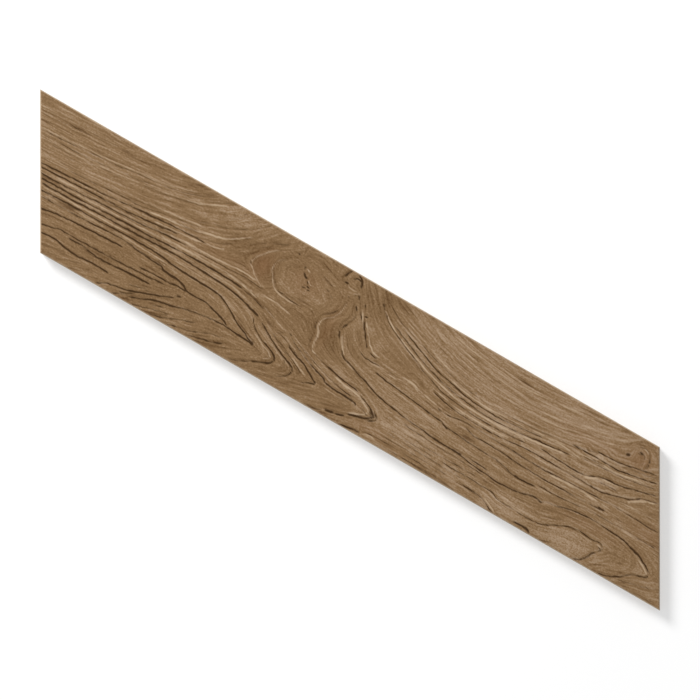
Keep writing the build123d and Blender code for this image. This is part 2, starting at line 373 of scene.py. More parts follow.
INK_LINES = (
    LEFT_ROWS + FOLDED_TIPS + BRUISES + LOWER_HATCH + LARGE_KNOT + ROUND_THE_KNOT + LONG_ROWS
    + OVAL_KNOT + RIGHT_BOWL + SMALL_KNOT
)

# Pale lines, a painted highlight on the lit lips of the embossing: strength, half width in millimetres, and
# points.
PALE_LINES = [
    (0.54, 0.49, [(8, 16), (24, 15), (38, 13.9), (52, 12.7), (66, 10.7), (80, 9), (94, 5.2)]),
    (0.5, 0.49, [(12, 20), (26, 19.7), (42, 18.8), (58, 16.8), (72, 14.8), (88, 11.8), (100, 8.2)]),
    (0.66, 0.49, [(90, 11.4), (97, 10), (104, 6.6), (111, 3.2)]),
    (0.48, 0.49, [(72, 23.2), (84, 21.4), (94, 20), (104, 18.8)]),
    (0.84, 0.52, [(78, 25.6), (90, 24.1), (100, 22.8), (107, 21), (115, 19.2), (121, 16.4), (129, 10.8)]),
    (0.72, 0.49, [(82, 28.6), (95, 27.3), (104, 26.5), (112, 25), (117, 24.2), (119, 23.2), (119.4, 24.8)]),
    (0.48, 0.49, [(30, 34.3), (45, 33.6), (60, 32.9), (75, 31.9), (90, 30.2), (104, 29.6)]),
    (0.62, 0.54, [(100, 29.8), (112, 29.7), (124, 29), (134, 28.2), (142, 28.8)]),
    (0.58, 0.55, [(30, 36.8), (46, 36.2), (62, 35.3), (78, 34.6), (92, 33.5), (104, 32.9)]),
    (0.6, 0.68, [(92, 33.6), (110, 32.8), (126, 32.8), (136, 33.8), (146, 36)]),
    (0.5, 0.55, [(26, 41.2), (42, 41.1), (60, 40.7), (76, 40.1), (92, 39.9), (106, 40.3), (122, 41.2)]),
    (0.54, 0.57, [(28, 44.6), (44, 44.1), (60, 43.4), (76, 42.9), (94, 43.7), (106, 45)]),
    (0.48, 0.49, [(40, 38.7), (56, 38.1), (74, 37.5), (92, 36.9), (110, 36.4), (128, 36.8), (142, 39)]),
    (0.42, 0.49, [(32, 49.3), (46, 47.9), (60, 46.9), (74, 46)]),
    (0.6, 0.49, [(148, 33.4), (156, 33.4), (164, 35)]),
    (0.54, 0.49, [(150, 38), (157, 40), (164, 42.6)]),
    (0.5, 0.49, [(171, 43.6), (177, 46), (184, 49), (192, 52)]),
    (0.58, 0.49, [(153, 51.6), (159, 54.6), (164.6, 57), (166, 59), (163, 61.2)]),
    (0.5, 0.49, [(167, 53.8), (173, 56.2), (176.4, 58), (176.6, 60.4)]),
    (0.5, 0.49, [(176, 53.4), (181, 55.6), (186, 58)]),
    (0.94, 0.57, [(199, 50.6), (206, 52), (213, 52.8), (218, 54.8), (222, 57.6), (220, 60.4), (213, 63.2)]),
    (0.54, 0.49, [(197, 58.2), (204, 58.6), (212, 58.6)]),
    (0.66, 0.56, [(144, 9.6), (140.4, 12.4), (136.6, 17), (134.3, 21.6), (136.6, 24.5), (140, 27.4),
     (144.6, 30)]),
    (0.58, 0.56, [(148.6, 11.8), (145.6, 15), (145, 19), (147, 23), (150.4, 27), (155, 29), (165, 29.6)]),
    (0.8, 0.5, [(160.4, 10.8), (162.4, 12)]),
    (0.75, 0.5, [(163.6, 15.6), (165, 17), (166.6, 17.4)]),
    (0.4, 0.46, [(168, 9.6), (173, 10.6), (178, 11.8)]),
    (0.54, 0.41, [(127, 20), (129.4, 18.4), (132.4, 15.4)]),
    (0.72, 0.52, [(185.8, 15), (185.7, 19), (185.3, 22), (183.6, 25.2), (180.8, 27.4), (179.2, 29.6),
     (179.1, 32.6), (180.3, 35), (181.3, 37.8), (181.4, 41), (182.4, 44.4), (186, 46.2)]),
    (0.5, 0.8, [(191.4, 29.6), (193, 33), (195.4, 36.4), (197.4, 39)]),
    (0.7, 0.5, [(195, 15.2), (196.4, 18), (197.4, 20)]),
    (0.5, 0.46, [(185.6, 11.2), (188, 9.6), (189.8, 8.6)]),
    (0.9, 0.53, [(198.8, 18.8), (201.4, 22.4), (204.2, 25.8), (207, 28.8), (210, 31), (213.6, 31.4)]),
    (0.72, 0.49, [(196, 39.2), (200.6, 41.6), (206, 43.4)]),
    (0.72, 0.66, [(221, 36.2), (227, 36.4)]),
    (0.79, 0.74, [(228, 34.2), (234, 34.2), (239, 36)]),
    (0.54, 0.57, [(242, 36.2), (250, 37.6)]),
    (0.66, 0.57, [(204, 9.4), (212, 15), (221, 19.4), (232, 23.2), (240, 26.4)]),
    (0.78, 0.52, [(236, 24.8), (246, 27.6), (256, 29.8), (268, 31), (280, 31), (292, 30.2), (303, 28.6),
     (318, 26.6)]),
    (0.62, 0.5, [(244, 31), (256, 33.4), (268, 34.4), (280, 34.5), (290, 33.6)]),
    (0.66, 0.49, [(250, 23), (262, 25.2), (276, 26), (290, 25.4), (304, 23.9), (316, 22.6)]),
    (0.66, 0.49, [(305, 24.6), (314, 23.6), (326, 25)]),
    (0.44, 0.49, [(218, 9.2), (230, 13.4), (242, 17.4), (254, 20.2)]),
    (0.52, 0.49, [(240, 3), (254, 5.4), (268, 6.8), (284, 8), (296, 7.2), (310, 5.6), (326, 4.2)]),
    (0.4, 0.49, [(226, 0.6), (240, 5.4), (256, 8.6), (272, 10.8), (288, 11.6)]),
    (0.52, 0.49, [(298, 17.2), (310, 16.2), (320, 13.8), (332, 11.8), (338, 9.8)]),
    (0.48, 0.49, [(296, 14.4), (308, 13), (322, 10.4)]),
    (0.84, 0.53, [(316, 39.6), (325, 38.8), (334, 38.6), (344, 39)]),
    (0.54, 0.57, [(345, 38.8), (352, 39.6)]),
    (0.95, 0.55, [(331, 31.8), (335, 30.8), (338, 28.6), (343, 27.9), (349, 27.4)]),
    (0.8, 0.49, [(322, 22.8), (335, 22.2), (346, 21.8), (353, 20.6), (360, 19.4)]),
    (0.85, 0.5, [(355.4, 32), (360.6, 29.6), (364.4, 27.2), (370, 25.4)]),
    (0.54, 0.57, [(352, 33.8), (362, 33.2), (374.6, 32.8)]),
    (0.48, 0.49, [(316, 47.6), (322, 47.6)]),
    (0.66, 0.49, [(375, 53.4), (380, 56.6), (382.4, 58.6), (380, 60.4)]),
    (0.74, 0.53, [(354, 57.6), (356.2, 58.6), (356, 60.4)]),
    (0.48, 0.49, [(339, 57.4), (345, 57.6), (351, 58.2)]),
    (0.66, 0.49, [(293, 65.6), (298, 67.6), (302, 70)]),
    (0.6, 0.49, [(299, 62.2), (306, 62.7), (314, 62.9)]),
    (0.72, 0.49, [(347.6, 6), (351, 4.6), (354.4, 6)]),
    (0.48, 0.49, [(350.4, 9.6), (351.6, 11.4)]),
    (0.6, 0.49, [(224, 69.6), (227, 67.8), (232, 67.6)]),
    (0.42, 0.49, [(367, 68), (374, 65), (380, 63)]),
    (0.42, 0.49, [(181.6, 2.2), (180.6, 5.4), (183, 8.4), (188, 8.6)]),
    (0.36, 0.49, [(20, 6.6), (34, 5.6), (50, 4.6)]),
]

# Soft patches of the print: middle and radii, both along and across in steps, and how much
# lighter they are.
TONE_PATCHES = [
    ((30, 5), (50, 8), -0.20),
    ((62, 32), (24, 5), -0.25),
    ((90, 38), (60, 3.5), -0.10),
    ((75, 50), (50, 6), -0.34),
    ((90, 62), (70, 10), -0.42),
    ((119, 5), (9, 6), 0.45),
    ((100, 15), (22, 7), -0.14),
    ((132, 19), (16, 8), -0.75),
    ((145, 23), (4.5, 6), -0.40),
    ((88, 22), (11, 5), -0.20),
    ((160, 7), (34, 8), -0.45),
    ((172, 33), (24, 8), -0.48),
    ((186, 33), (9, 12), -0.35),
    ((164, 41), (36, 6), -0.36),
    ((190, 62), (30, 7), -0.50),
    ((200, 8), (14, 9), -0.60),
    ((215, 40), (26, 5), 0.22),
    ((218, 29), (17, 7), -0.26),
    ((262, 12), (56, 13), 0.28),
    ((236, 57), (24, 3.5), 0.22),
    ((213, 56), (14, 7), 0.30),
    ((132, 38), (16, 5), 0.14),
    ((320, 16), (40, 6), 0.14),
    ((350, 64), (12, 5), -0.20),
    ((252, 60), (26, 9), 0.38),
    ((262, 49), (36, 3), 0.12),
    ((288, 30), (24, 5), 0.42),
    ((306, 63), (18, 6), 0.35),
    ((322, 7), (24, 8), 0.48),
    ((320, 36), (34, 7), 0.20),
    ((322, 52.6), (26, 4.5), -0.16),
    ((336, 30), (38, 5), 0.24),
    ((340, 65), (16, 6.5), 0.66),
    ((366, 57), (14, 8), -0.10),
    ((359, 64), (6, 5), 0.20),
]

# Places where the print turns reddish: middle, radii and strength.
WARM_PATCHES = [
    ((140, 20), (5, 7), 1.0),
    ((163, 17), (8, 6), 0.55),
    ((183.6, 32), (3, 14), 0.45),
    ((352, 10), (6, 5), 0.75),
    ((374, 41), (12, 4), 0.50),
    ((328, 14), (26, 4), 0.35),
    ((348, 52), (18, 3), 0.40),
    ((228, 65), (12, 3), 0.40),
    ((118, 26), (20, 3), 0.30),
]

# Places where the streaks give way to fine grit, as in the heart of a knot.
CALM_PATCHES = [
    ((162, 18), (15, 9), 1.0),
    ((140, 20), (6, 8), 0.6),
    ((352, 10), (6, 5), 0.6),
    ((338, 65), (17, 6), 0.9),
    ((120, 5), (9, 5), 0.6),
    ((214, 27), (12, 5), 0.4),
    ((366, 57), (11, 5), 0.6),
    ((75, 52), (50, 9), 0.5),
    ((100, 60), (40, 8), 0.3),
]

# Places where the fine rows between the drawn lines show most: middle, radii and strength.
ROW_PATCHES = [
    ((45, 10), (75, 14), 0.55),
    ((70, 32), (55, 8), 0.35),
    ((275, 10), (70, 16), 0.25),
    ((270, 29), (48, 7), 0.60),
    ((178, 50), (22, 8), 0.40),
    ((335, 21), (34, 12), 0.55),
]


def smooth_path(points, spacing=0.2):
    """A curve through the points of the drawing, as places in millimetres that far apart."""
    ends = [2 * np.array(points[0], float) - points[1], 2 * np.array(points[-1], float) - points[-2]]
    knots = np.vstack([ends[0], np.array(points, float), ends[1]]) * STEP
    pieces = []
    for before, start, stop, after in zip(knots, knots[1:], knots[2:], knots[3:]):
        count = max(2, int(np.hypot(*(stop - start)) / spacing))
        t = (np.arange(count) / count)[:, None]
        bend = 2 * start + (stop - before) * t
        bend = bend + (2 * before - 5 * start + 4 * stop - after) * t**2
        pieces.append((bend + (3 * start - before - 3 * stop + after) * t**3) / 2)
    pieces.append(knots[-2][None, :])
    return np.vstack(pieces)


NOISE_CELLS = 256


@lru_cache(maxsize=8)
def noise_table(seed):
    return np.random.default_rng(seed).random((NOISE_CELLS, NOISE_CELLS))


def value_noise(x, y, seed):
    """Smooth random numbers from 0 to 1, about one swing for each unit of x and y."""
    table = noise_table(seed)
    column, row = np.floor(x).astype(int), np.floor(y).astype(int)
    fx, fy = x - column, y - row
    fx, fy = fx * fx * (3 - 2 * fx), fy * fy * (3 - 2 * fy)

    def corner(i, j):
        return table[(column + i) % NOISE_CELLS, (row + j) % NOISE_CELLS]

    upper = corner(0, 0) * (1 - fx) + corner(1, 0) * fx
    lower = corner(0, 1) * (1 - fx) + corner(1, 1) * fx
    return upper * (1 - fy) + lower * fy


def noise_on_line(run, swing, row, seed):
    """Noise at distances along a line, with one swing in so many millimetres."""
    return value_noise(run / swing, np.full(len(run), row), seed)


def distances(path):
    """How far along the path each of its points lies, in millimetres."""
    return np.concatenate([[0], np.cumsum(np.hypot(*np.diff(path, axis=0).T))])


def face_places():
    """Places of the face's grid points, along and across, row by row from the upper edge."""
    inset = ARRIS / cos(MITRE)
    across = np.linspace(ARRIS, WIDTH - ARRIS, CELLS_ACROSS + 1)[:, None]
    share = np.linspace(0, 1, CELLS_ALONG + 1)[None, :]
    along = across * tan(MITRE) + inset + share * (LENGTH - 2 * inset)
    return along, np.broadcast_to(across, along.shape).copy()


# How a line is stamped: how many half widths it reaches out, how many of its points are done at
# once, and how its half width changes along it.
STAMP_REACH = 2.6
STAMP_RUN = 40
LEAST_WIDTH = 0.56
WIDTH_CHANGE = 0.68
WIDTH_PACE = 0.11


def stamp(field, along, across, path, half_width, strength, seed):
    """Draws a soft line into a field of the face. The strongest line wins where lines cross."""
    reach = STAMP_REACH * half_width
    row_step = (WIDTH - 2 * ARRIS) / CELLS_ACROSS
    column_step = LENGTH / CELLS_ALONG
    for first in range(0, len(path), STAMP_RUN):
        part = path[first:first + STAMP_RUN + 1]
        force = strength[first:first + STAMP_RUN + 1]
        numbers = np.arange(first, first + len(part))
        change = value_noise(numbers * WIDTH_PACE, np.full(len(part), 0.5), seed)
        wide = half_width * (LEAST_WIDTH + WIDTH_CHANGE * change)
        low, high = part.min(0) - reach, part.max(0) + reach
        top = max(0, int((low[1] - ARRIS) / row_step))
        bottom = min(CELLS_ACROSS, int((high[1] - ARRIS) / row_step) + 1)
        left = max(0, int((low[0] - high[1] * tan(MITRE)) / column_step) - 1)
        right = min(CELLS_ALONG, int((high[0] - low[1] * tan(MITRE)) / column_step) + 1)
        if top >= bottom or left >= right:
            continue
        window = (slice(top, bottom + 1), slice(left, right + 1))
        gap = (along[window][..., None] - part[:, 0]) ** 2
        gap = gap + (across[window][..., None] - part[:, 1]) ** 2
        line = (np.exp(-gap / wide**2) * force).max(-1)
        field[window] = np.maximum(field[window], line)


# The crooks in a line, long and short, and how far they push it aside, in millimetres.
LONG_CROOK = 2.2
SHORT_CROOK = 0.9
SHORT_SHARE = 0.6
CROOK_PUSH = 0.34


def trembling(path, seed):
    """The path with small crooks in it, as an embossed line has."""
    step = np.gradient(path, axis=0)
    length = np.hypot(step[:, 0], step[:, 1])[:, None] + 1e-9
    side = np.stack([-step[:, 1], step[:, 0]], 1) / length
    run = distances(path)
    crook = noise_on_line(run, LONG_CROOK, 3.1, seed)
    crook = crook + SHORT_SHARE * noise_on_line(run, SHORT_CROOK, 5.9, seed)
    middle = (1 + SHORT_SHARE) / 2
    return path + side * ((crook - middle) * CROOK_PUSH)[:, None]


# Over how many millimetres a line fades at its ends, to what share, and how uneven its print is.
FADE = 3.0
END_SHARE = 0.35
LEAST_PRINT = 0.72
PRINT_CHANGE = 0.56
PRINT_SWING = 3.0


def line_strength(path, strength, seed):
    """How strong a line is along its path: fading at its ends, and uneven as print is."""
    run = distances(path)
    fade = min(FADE, run[-1] / 3 + 0.01)
    ends = np.clip(np.minimum(run, run[-1] - run) / fade + END_SHARE, 0, 1)
    uneven = LEAST_PRINT + PRINT_CHANGE * noise_on_line(run, PRINT_SWING, 7.3, seed)
    return np.minimum(1, strength * ends * uneven)


# The growth rings: how far apart the drawn lines are read, in millimetres, and how stiff the plate
# is that is bent through them. It is worked out in decimetres, so many places at a time.
READ_SPACING = 8.0
READ_STEP = 0.5
STIFFNESS = 2e-4
DECIMETRE = 100
PLACES_AT_ONCE = 4000


def ring_field(along, across):
    """Growth ring number at every place of the face: a thin plate bent through the drawn lines."""
    places, rings = [], []
    for ring, _, _, points in INK_LINES:
        path = smooth_path(points, READ_STEP)
        stride = int(READ_SPACING / READ_STEP)
        picked = path[::stride] if len(path) > stride else path[[0, -1]]
        places.append(picked)
        rings += [ring] * len(picked)
    places = np.vstack(places) / DECIMETRE
    rings = np.array(rings)

    def plate(spots):
        """The plate's bend at some spots for a push at each of the places."""
        squared = ((spots[:, None, :] - places[None, :, :]) ** 2).sum(-1)
        return squared * np.log(np.maximum(squared, 1e-12))

    count = len(rings)
    system = np.zeros((count + 3, count + 3))
    system[:count, :count] = plate(places) + np.eye(count) * STIFFNESS
    system[:count, count] = 1
    system[:count, count + 1:] = places
    system[count, :count] = 1
    system[count + 1:, :count] = places.T
    weights = np.linalg.solve(system, np.concatenate([rings, np.zeros(3)]))
    push, level, slope = weights[:count], weights[count], weights[count + 1:]
    spots = np.stack([along.ravel(), across.ravel()], 1) / DECIMETRE
    found = np.empty(len(spots))
    for first in range(0, len(spots), PLACES_AT_ONCE):
        part = spots[first:first + PLACES_AT_ONCE]
        found[first:first + PLACES_AT_ONCE] = plate(part) @ push + level + part @ slope
    return found.reshape(along.shape)


# The raster of the grain's direction: its spacing, how far it starts outside the face, and how far
# apart the lines are read, in millimetres. The pull of a line falls off beyond its own softness.
RASTER = 2.0
OUTSIDE = 4.0
PULL_STEP = 1.5
PULL_SOFTNESS = 1.5
PULL_POWER = 1.5
SPOTS_AT_ONCE = 2000


def grain_compass():
    """The grain's direction on the raster, from the tangents of the drawn lines nearby. It is kept
    as a turn of twice its angle, because grain runs both ways."""
    places, turns = [], []
    for points in [line[-1] for line in INK_LINES + PALE_LINES]:
        path = smooth_path(points, PULL_STEP)
        step = np.diff(path, axis=0)
        places.append(path[:-1])
        turns.append(2 * np.arctan2(step[:, 1], step[:, 0]))
    places, turns = np.vstack(places), np.concatenate(turns)
    x = np.arange(-OUTSIDE, LENGTH + WIDTH * tan(MITRE) + OUTSIDE + RASTER, RASTER)
    y = np.arange(-OUTSIDE, WIDTH + OUTSIDE + RASTER, RASTER)
    spots = np.stack(np.meshgrid(x, y), -1).reshape(-1, 2)
    compass = np.zeros((len(spots), 2))
    for first in range(0, len(spots), SPOTS_AT_ONCE):
        part = spots[first:first + SPOTS_AT_ONCE]
        squared = ((part[:, None, :] - places[None, :, :]) ** 2).sum(-1)
        weight = 1 / (squared + PULL_SOFTNESS) ** PULL_POWER
        compass[first:first + SPOTS_AT_ONCE, 0] = weight @ np.cos(turns) + 1e-4
        compass[first:first + SPOTS_AT_ONCE, 1] = weight @ np.sin(turns)
    compass /= np.hypot(compass[:, 0], compass[:, 1])[:, None] + 1e-12
    return compass.reshape(len(y), len(x), 2)


# Three kinds of streak: the size of their noise across, how far they are drawn out along the grain,
# both in millimetres, and their seed. They are followed each way in steps of one pace.
STREAKS = {"hair": (0.5, 6.0, 21), "fibre": (0.85, 14.0, 22), "band": (2.4, 16.0, 23)}
PACE = 0.8
PACES = 44
LEAST_WEIGHT = 0.02


def grain_streaks(along, across):
    """Noise drawn out along the grain at three widths, each with no mean and a unit spread."""
    compass = grain_compass()

    def direction(x, y):
        column = np.clip((x + OUTSIDE) / RASTER, 0, compass.shape[1] - 1.001)
        row = np.clip((y + OUTSIDE) / RASTER, 0, compass.shape[0] - 1.001)
        i, j = row.astype(int), column.astype(int)
        fi, fj = (row - i)[..., None], (column - j)[..., None]
        upper = compass[i, j] * (1 - fj) + compass[i, j + 1] * fj
        lower = compass[i + 1, j] * (1 - fj) + compass[i + 1, j + 1] * fj
        turn = upper * (1 - fi) + lower * fi
        angle = np.arctan2(turn[..., 1], turn[..., 0]) / 2
        return np.cos(angle), np.sin(angle)

    totals = {name: 0 for name in STREAKS}
    for way in (1, -1):
        x, y = along.copy(), across.copy()
        dx, dy = [way * part for part in direction(x, y)]
        for step in range(PACES):
            for name, (cell, reach, seed) in STREAKS.items():
                weight = np.exp(-((step * PACE / reach) ** 2))
                if weight > LEAST_WEIGHT:
                    noise = value_noise(x / cell, y / cell, seed)
                    totals[name] = totals[name] + weight * (noise - 0.5)
            x += dx * PACE
            y += dy * PACE
            next_x, next_y = direction(x, y)
            same_way = np.sign(next_x * dx + next_y * dy + 1e-9)
            dx, dy = same_way * next_x, same_way * next_y
    return {name: (total - total.mean()) / total.std() for name, total in totals.items()}


# The fine rows: how far apart their long and short wanderings lie along the grain, how long their
# dashes are, in millimetres, how faint the faintest dash is, and how much shows outside a patch.
LONG_WANDER = 38
SHORT_WANDER = 14
DASH_LENGTH = 16
FAINTEST_DASH = 0.25
ROWS_EVERYWHERE = 0.35


def growth_rows(ring, along, across):
    """Fine rows that follow the growth rings, from -1 to 1, each broken into long dashes."""
    wander = value_noise(along / LONG_WANDER, ring * 0.8, 31)
    wander = wander + 0.5 * value_noise(along / SHORT_WANDER, ring * 1.6, 32)
    wave = np.sin(2 * np.pi * (ring * ROWS_PER_RING + ROW_WANDER * wander))
    dashes = value_noise(along / DASH_LENGTH, ring * ROWS_PER_RING, 33)
    dashes = FAINTEST_DASH + (1 - FAINTEST_DASH) * dashes
    shown = np.clip(ROWS_EVERYWHERE + patches(along, across, ROW_PATCHES), 0, 1)
    return wave * dashes * shown


def patches(along, across, spots):
    """Sum of soft round patches, each given by its middle, its radii and its strength."""
    total = np.zeros(along.shape)
    for (middle_along, middle_across), (reach_along, reach_across), strength in spots:
        far = ((along / STEP - middle_along) / reach_along) ** 2
        far = far + ((across / STEP - middle_across) / reach_across) ** 2
        total += strength * np.exp(-far)
    return total


def draw_line(field, places, points, half_width, strength, seeds):
    """Draws one line of the figure, with a seed each for its crooks, its print and its width."""
    crook_seed, print_seed, width_seed = seeds
    path = trembling(smooth_path(points), crook_seed)
    force = line_strength(path, strength, print_seed)
    stamp(field, *places, path, half_width, force, width_seed)


def face_figure():
    """The fields of the face: places, ring number, ink, pale lips, tone, warmth and height."""
    places = along, across = face_places()
    ink, pale = np.zeros(along.shape), np.zeros(along.shape)
    for number, (_, strength, half_width, points) in enumerate(INK_LINES):
        draw_line(ink, places, points, half_width, strength, (700 + number, 100 + number, number))
    for number, (strength, half_width, points) in enumerate(PALE_LINES):
        draw_line(pale, places, points, half_width, strength, (1000 + number, 400 + number, 9 + number))
    pale = pale * (1 - ink)
    ring = ring_field(along, across)
    tone = patches(along, across, TONE_PATCHES)
    warmth = patches(along, across, WARM_PATCHES)
    calm = np.clip(patches(along, across, CALM_PATCHES), 0, 1)
    figure = grain_streaks(along, across)
    rows = growth_rows(ring, along, across) * (1 - calm)
    streaks = FIBRE_DEPTH * figure["fibre"] + BAND_DEPTH * figure["band"]
    depth = MEAN_DEPTH - streaks - ROW_DEPTH * rows + INK_DEPTH * ink - PALE_RISE * pale
    figure.update(along=along, across=across, height=HEIGHT - np.clip(depth, 0, None))
    figure.update(ring=ring, ink=ink, pale=pale, tone=tone, warmth=warmth, calm=calm, rows=rows)
    return figure


def to_world(along, across, height):
    """Turns a place on the tile, in millimetres, into the frame's metres."""
    x = cad_low.x / MM + along * cos(MITRE) - across * sin(MITRE)
    y = cad_high.y / MM - along * sin(MITRE) - across * cos(MITRE)
    return np.stack(np.broadcast_arrays(x, y, height), -1) * MM


def groove_profile():
    """Section of the back from the upper edge to the lower: distance across, and height."""
    pitch = GROOVE_MOUTH + LAND_WIDTH
    profile = [(0.0, 0.0)]
    for number in range(-GROOVE_PAIRS, GROOVE_PAIRS):
        middle = WIDTH / 2 + (number + 0.5) * pitch
        for side, height in ((-1, 0), (-1, GROOVE_DEPTH), (1, GROOVE_DEPTH), (1, 0)):
            half = GROOVE_MOUTH / 2 - (GROOVE_TAPER if height else 0)
            profile.append((middle + side * half, float(height)))
    profile.append((WIDTH, 0.0))
    return np.array(profile)


def round_border(grid):
    """The border of a grid of points, once round from its first corner."""
    return np.concatenate([grid[0, :-1], grid[:-1, -1], grid[-1, :0:-1], grid[:0:-1, 0]])


def rim_points(columns, rows):
    """The rim below the arris, with one point for each point of the face's border."""
    share = np.linspace(0, 1, columns)
    down = np.linspace(0, 1, rows)
    below = HEIGHT - ARRIS

    def long_edge(across):
        return to_world(share * LENGTH + across * tan(MITRE), across, below)

    def short_edge(start):
        return to_world(start + down * WIDTH * tan(MITRE), down * WIDTH, below)

    upper_and_right = [long_edge(0.0)[:-1], short_edge(LENGTH)[:-1]]
    lower_and_left = [long_edge(WIDTH)[:0:-1], short_edge(0.0)[:0:-1]]
    return np.vstack(upper_and_right + lower_and_left)


# The fields of the figure that the materials read.
SHOWN_FIELDS = ("ring", "ink", "pale", "tone", "warmth", "calm", "hair", "fibre", "band", "rows")


def tile_mesh(figure):
    """One closed mesh: the embossed face, the arris, four sides and the ribbed back."""
    columns, rows = CELLS_ALONG + 1, CELLS_ACROSS + 1
    face = to_world(figure["along"], figure["across"], figure["height"]).reshape(-1, 3)
    index = np.arange(rows * columns).reshape(rows, columns)
    quads = np.stack([index[:-1, :-1], index[1:, :-1], index[1:, 1:], index[:-1, 1:]], -1).reshape(-1, 4)

    border = round_border(index)
    rim = rim_points(columns, rows)
    rim_index = len(face) + np.arange(len(rim))
    arris = np.stack([border, np.roll(border, -1), np.roll(rim_index, -1), rim_index], -1).tolist()

    # The back's section at both mitred ends, and the strips that join them.
    profile = groove_profile()
    left = to_world(profile[:, 0] * tan(MITRE), profile[:, 0], profile[:, 1])
    right = to_world(LENGTH + profile[:, 0] * tan(MITRE), profile[:, 0], profile[:, 1])
    left_index = [len(face) + len(rim) + number for number in range(len(profile))]
    right_index = [number + len(profile) for number in left_index]
    back = list(zip(left_index, right_index, right_index[1:], left_index[1:]))

    # Each side has its own stretch of the rim above, and the back's section or a long edge below.
    turns = np.cumsum([0, columns - 1, rows - 1, columns - 1, rows - 1])
    closed_rim = rim_index.tolist() + [int(rim_index[0])]
    top, end_right, bottom, end_left = [
        closed_rim[start:stop + 1] for start, stop in zip(turns, turns[1:])
    ]
    sides = [
        top + [right_index[0], left_index[0]],
        end_right + right_index[::-1],
        bottom + [left_index[-1], right_index[-1]],
        end_left + left_index,
    ]

    mesh = bpy.data.meshes.new("wood_look_tile")
    points = np.vstack([face, rim, left, right])
    polygons = quads.tolist() + arris + sides + back
    mesh.from_pydata(points.tolist(), [], polygons)
    on_face = np.arange(len(polygons)) < len(quads)
    mesh.polygons.foreach_set("use_smooth", on_face)
    mesh.polygons.foreach_set("material_index", np.where(on_face, 0, 1).astype(np.int32))
    for name in SHOWN_FIELDS:
        layer = mesh.attributes.new(name, "FLOAT", "POINT")
        values = np.zeros(len(points), np.float32)
        values[:len(face)] = figure[name].ravel()
        layer.data.foreach_set("value", values)
    mesh.update()
    return mesh


def colour(red, green, blue):
    """A colour as it is seen, from 0 to 255, in the shader's own linear terms."""
    seen = [value / 255 for value in (red, green, blue)]
    return tuple(v / 12.92 if v <= 0.04045 else ((v + 0.055) / 1.055) ** 2.4 for v in seen) + (1.0,)


class Shader:
    """A material's node tree, with short calls for the nodes that the finishes use."""

    def __init__(self, name, roughness):
        self.material = bpy.data.materials.new(name)
        self.material.use_nodes = True
        self.tree = self.material.node_tree
        self.surface = self.tree.nodes["Principled BSDF"]
        self.surface.inputs["Roughness"].default_value = roughness

    def put(self, value, socket):
        """Links a socket to another one, or writes a plain value on it."""
        if isinstance(value, bpy.types.NodeSocket):
            self.tree.links.new(value, socket)
        else:
            socket.default_value = value

    def node(self, kind, inputs=(), **settings):
        made = self.tree.nodes.new("ShaderNode" + kind)
        for name, value in settings.items():
            setattr(made, name, value)
        for key, value in dict(inputs).items():
            self.put(value, made.inputs[key])
        return made

    def maths(self, operation, first, second=0.0, third=0.0):
        return self.node("Math", {0: first, 1: second, 2: third}, operation=operation).outputs[0]

    def times(self, first, second):
        return self.maths("MULTIPLY", first, second)

    def add(self, total, value, weight, middle=0.0):
        """The total with a value added, counted from its middle, so many times."""
        if middle:
            value = self.maths("SUBTRACT", value, middle)
        return self.maths("MULTIPLY_ADD", value, weight, total)

    def field(self, name):
        return self.node("Attribute", attribute_name=name).outputs["Fac"]

    def noise(self, vector, detail=2.0, scale=1.0):
        inputs = {"Vector": vector, "Scale": scale, "Detail": detail}
        return self.node("TexNoise", inputs).outputs["Fac"]

    def stretched(self, along, along_size, across, across_size, slice_place=0.0):
        """A place for noise whose swings have these sizes along and across."""
        x = self.maths("DIVIDE", along, along_size)
        y = self.maths("DIVIDE", across, across_size)
        return self.node("CombineXYZ", {0: x, 1: y, 2: slice_place}).outputs[0]

    def spread(self, value, low, high, to_low=0.0, to_high=1.0):
        """The value eased from one range into another."""
        inputs = {"Value": value, "From Min": low, "From Max": high, "To Min": to_low, "To Max": to_high}
        return self.node("MapRange", inputs, interpolation_type="SMOOTHSTEP").outputs[0]

    def mix(self, share, first, second):
        made = self.node("Mix", {0: share}, data_type="RGBA")
        self.put(first, made.inputs[6])
        self.put(second, made.inputs[7])
        return made.outputs[2]

    def connect(self, socket, name):
        self.tree.links.new(socket, self.surface.inputs[name])

    def bump(self, height, strength, depth):
        made = self.node("Bump", {"Height": height, "Strength": strength, "Distance": depth * MM})
        self.connect(made.outputs[0], "Normal")

    def object_place(self):
        return self.node("TexCoord").outputs["Object"]

    def tile_places(self):
        """Millimetres along the long edges, across them and up, from the middle of the back."""
        inputs = {"Vector": self.object_place(), "Rotation": (0, 0, MITRE), "Scale": (1 / MM,) * 3}
        return self.node("SeparateXYZ", {0: self.node("Mapping", inputs).outputs[0]}).outputs[:3]


# The colours of the printed oak as they are seen, from its dark streaks to its pale ones, and those
# of its reddish places, the painted highlight on the lips and the dark lines of its embossing, and its
# pores.
OAK_DARK = (89, 61, 29)
OAK_MIDDLE = (135, 107, 75)
OAK_PALE = (177, 153, 128)
OAK_RED = (124, 89, 58)
LIP_HIGHLIGHT = (183, 159, 131)
INK = (60, 40, 18)
PORE = (86, 61, 37)

# How far each of those covers the oak where it is strongest.
RED_COVER = 0.55
LIP_HIGHLIGHT_COVER = 0.85
INK_COVER = 0.97
PORE_COVER = 0.60

# How far each field moves the print between dark, at 0, and pale, at 1.
TONE_WEIGHT = 0.30
THREAD_WEIGHT = 0.50
CLOUD_WEIGHT = 0.16
ROW_WEIGHT = 0.18
GRIT_WEIGHT = 0.70
HAIR_WEIGHT = 0.096
FIBRE_WEIGHT = 0.020
BAND_WEIGHT = 0.008

# What the calm places add to the grit, and take from the streaks.
CALM_GRIT = 0.35
CALM_STREAKS = -0.6

